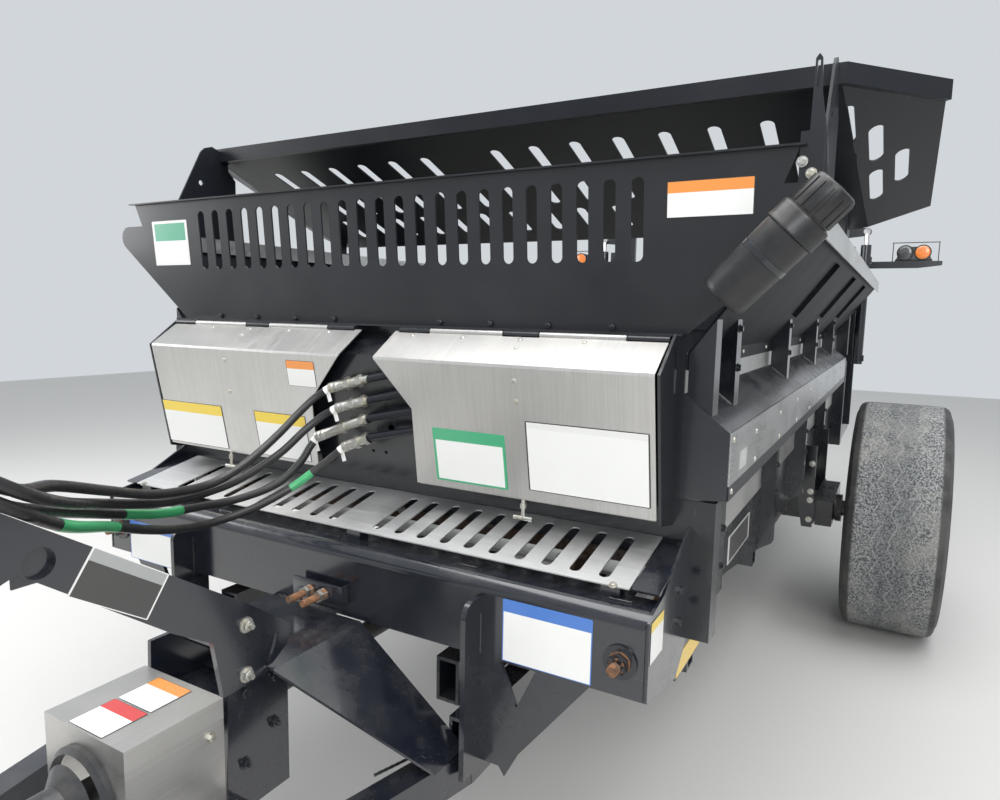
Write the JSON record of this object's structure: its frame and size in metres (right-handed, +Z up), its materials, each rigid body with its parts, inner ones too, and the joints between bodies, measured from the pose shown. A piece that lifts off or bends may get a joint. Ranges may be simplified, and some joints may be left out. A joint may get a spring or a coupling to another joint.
{
  "type": "manure spreader",
  "caption": "Towed box manure spreader with flared sides, slotted front screen and hood, chain apron, lifting rear gate and two upright beaters, parked on its leg.",
  "frame": {"origin": "on the ground under the middle of the machine's bounding box", "axes": "+Z up, +Y from the hitch towards the beaters, +X to the right when looking from the hitch towards the box"},
  "size_m": [2.88, 6.7199, 2.15],
  "materials": {
    "black_paint": "satin",
    "charcoal_paint": "satin",
    "stainless": "brushed",
    "zinc": "matt",
    "rod_chrome": "polished",
    "rusty_steel": "matt",
    "cast": "satin",
    "rubber": "matt",
    "tyre": "matt",
    "plastic": "matt"
  },
  "bodies": {
    "chassis": {"main_frame": "black_paint", "box_floor": "charcoal_paint", "wall_left": "stainless", "wall_right": "stainless", "flare_left": "black_paint", "flare_right": "black_paint", "flare_caps": "zinc", "side_frames": "black_paint", "ledge_left": "charcoal_paint", "ledge_right": "charcoal_paint", "ledge_strips": "stainless", "front_wall": "black_paint", "front_screen": "charcoal_paint", "splash_hood": "black_paint", "step_grate": "stainless", "front_beam": "black_paint", "tension_rods": "rusty_steel", "tongue": "black_paint", "tongue_shield": "black_paint", "drive_cover": "stainless", "pto_guard": "plastic", "hose_arm": "black_paint", "hose_1": "rubber", "hose_2": "rubber", "hose_3": "rubber", "hose_4": "rubber", "hose_couplers": "zinc", "hose_fittings": "zinc", "manual_canister": "plastic", "lever_arm": "black_paint", "jack_tube": "black_paint", "axle": "black_paint", "apron_chain": "rusty_steel", "apron_slats": "rusty_steel", "apron_rollers": "cast", "rear_frame": "black_paint", "beater_drive": "cast", "lamps": "plastic"},
    "wheel_left": {"rim_left": "charcoal_paint", "tyre_left": "tyre"},
    "wheel_right": {"rim_right": "charcoal_paint", "tyre_right": "tyre"},
    "drive_shaft": {"driveline": "cast"},
    "left_beater": {"beater_left": "cast", "flight_left": "cast"},
    "right_beater": {"beater_right": "cast", "flight_right": "cast"},
    "rear_gate": {"gate": "black_paint", "gate_rods": "rod_chrome"},
    "left_cover": {"cover_left": "stainless"},
    "right_cover": {"cover_right": "stainless"},
    "parking_leg": {"jack_leg": "zinc"}
  },
  "joints": [
    {"name": "wheel_left_spin", "type": "hinge", "parent": "chassis", "child": "wheel_left", "pos_m": [-1.23, 0.96, 0.562], "axis": [1, 0, 0], "continuous": true},
    {"name": "wheel_right_spin", "type": "hinge", "parent": "chassis", "child": "wheel_right", "pos_m": [1.23, 0.96, 0.562], "axis": [1, 0, 0], "continuous": true},
    {"name": "beater_left_spin", "type": "hinge", "parent": "chassis", "child": "left_beater", "pos_m": [-0.392, 2.9, 1.5], "axis": [0, 0, 1], "continuous": true},
    {"name": "beater_right_spin", "type": "hinge", "parent": "chassis", "child": "right_beater", "pos_m": [0.392, 2.9, 1.5], "axis": [0, 0, 1], "continuous": true},
    {"name": "drive_shaft_spin", "type": "hinge", "parent": "chassis", "child": "drive_shaft", "pos_m": [0, -2.28, 0.68], "axis": [0, 1, 0], "continuous": true},
    {"name": "gate_lift", "type": "slide", "parent": "chassis", "child": "rear_gate", "axis": [0, 0, 1], "range_m": [0, 0.7]},
    {"name": "cover_left_swing", "type": "hinge", "parent": "chassis", "child": "left_cover", "pos_m": [-0.4, -1.6, 1.49], "axis": [-1, 0, 0], "range_deg": [0, 110]},
    {"name": "cover_right_swing", "type": "hinge", "parent": "chassis", "child": "right_cover", "pos_m": [0.4, -1.6, 1.49], "axis": [-1, 0, 0], "range_deg": [0, 110]},
    {"name": "parking_leg_slide", "type": "slide", "parent": "chassis", "child": "parking_leg", "axis": [0, 0, 1], "range_m": [0, 0.3]}
  ],
  "couplings": [
    {"joint": "beater_right_spin", "follows": "beater_left_spin", "ratio": -1},
    {"joint": "drive_shaft_spin", "follows": "beater_left_spin", "ratio": 1.31}
  ]
}
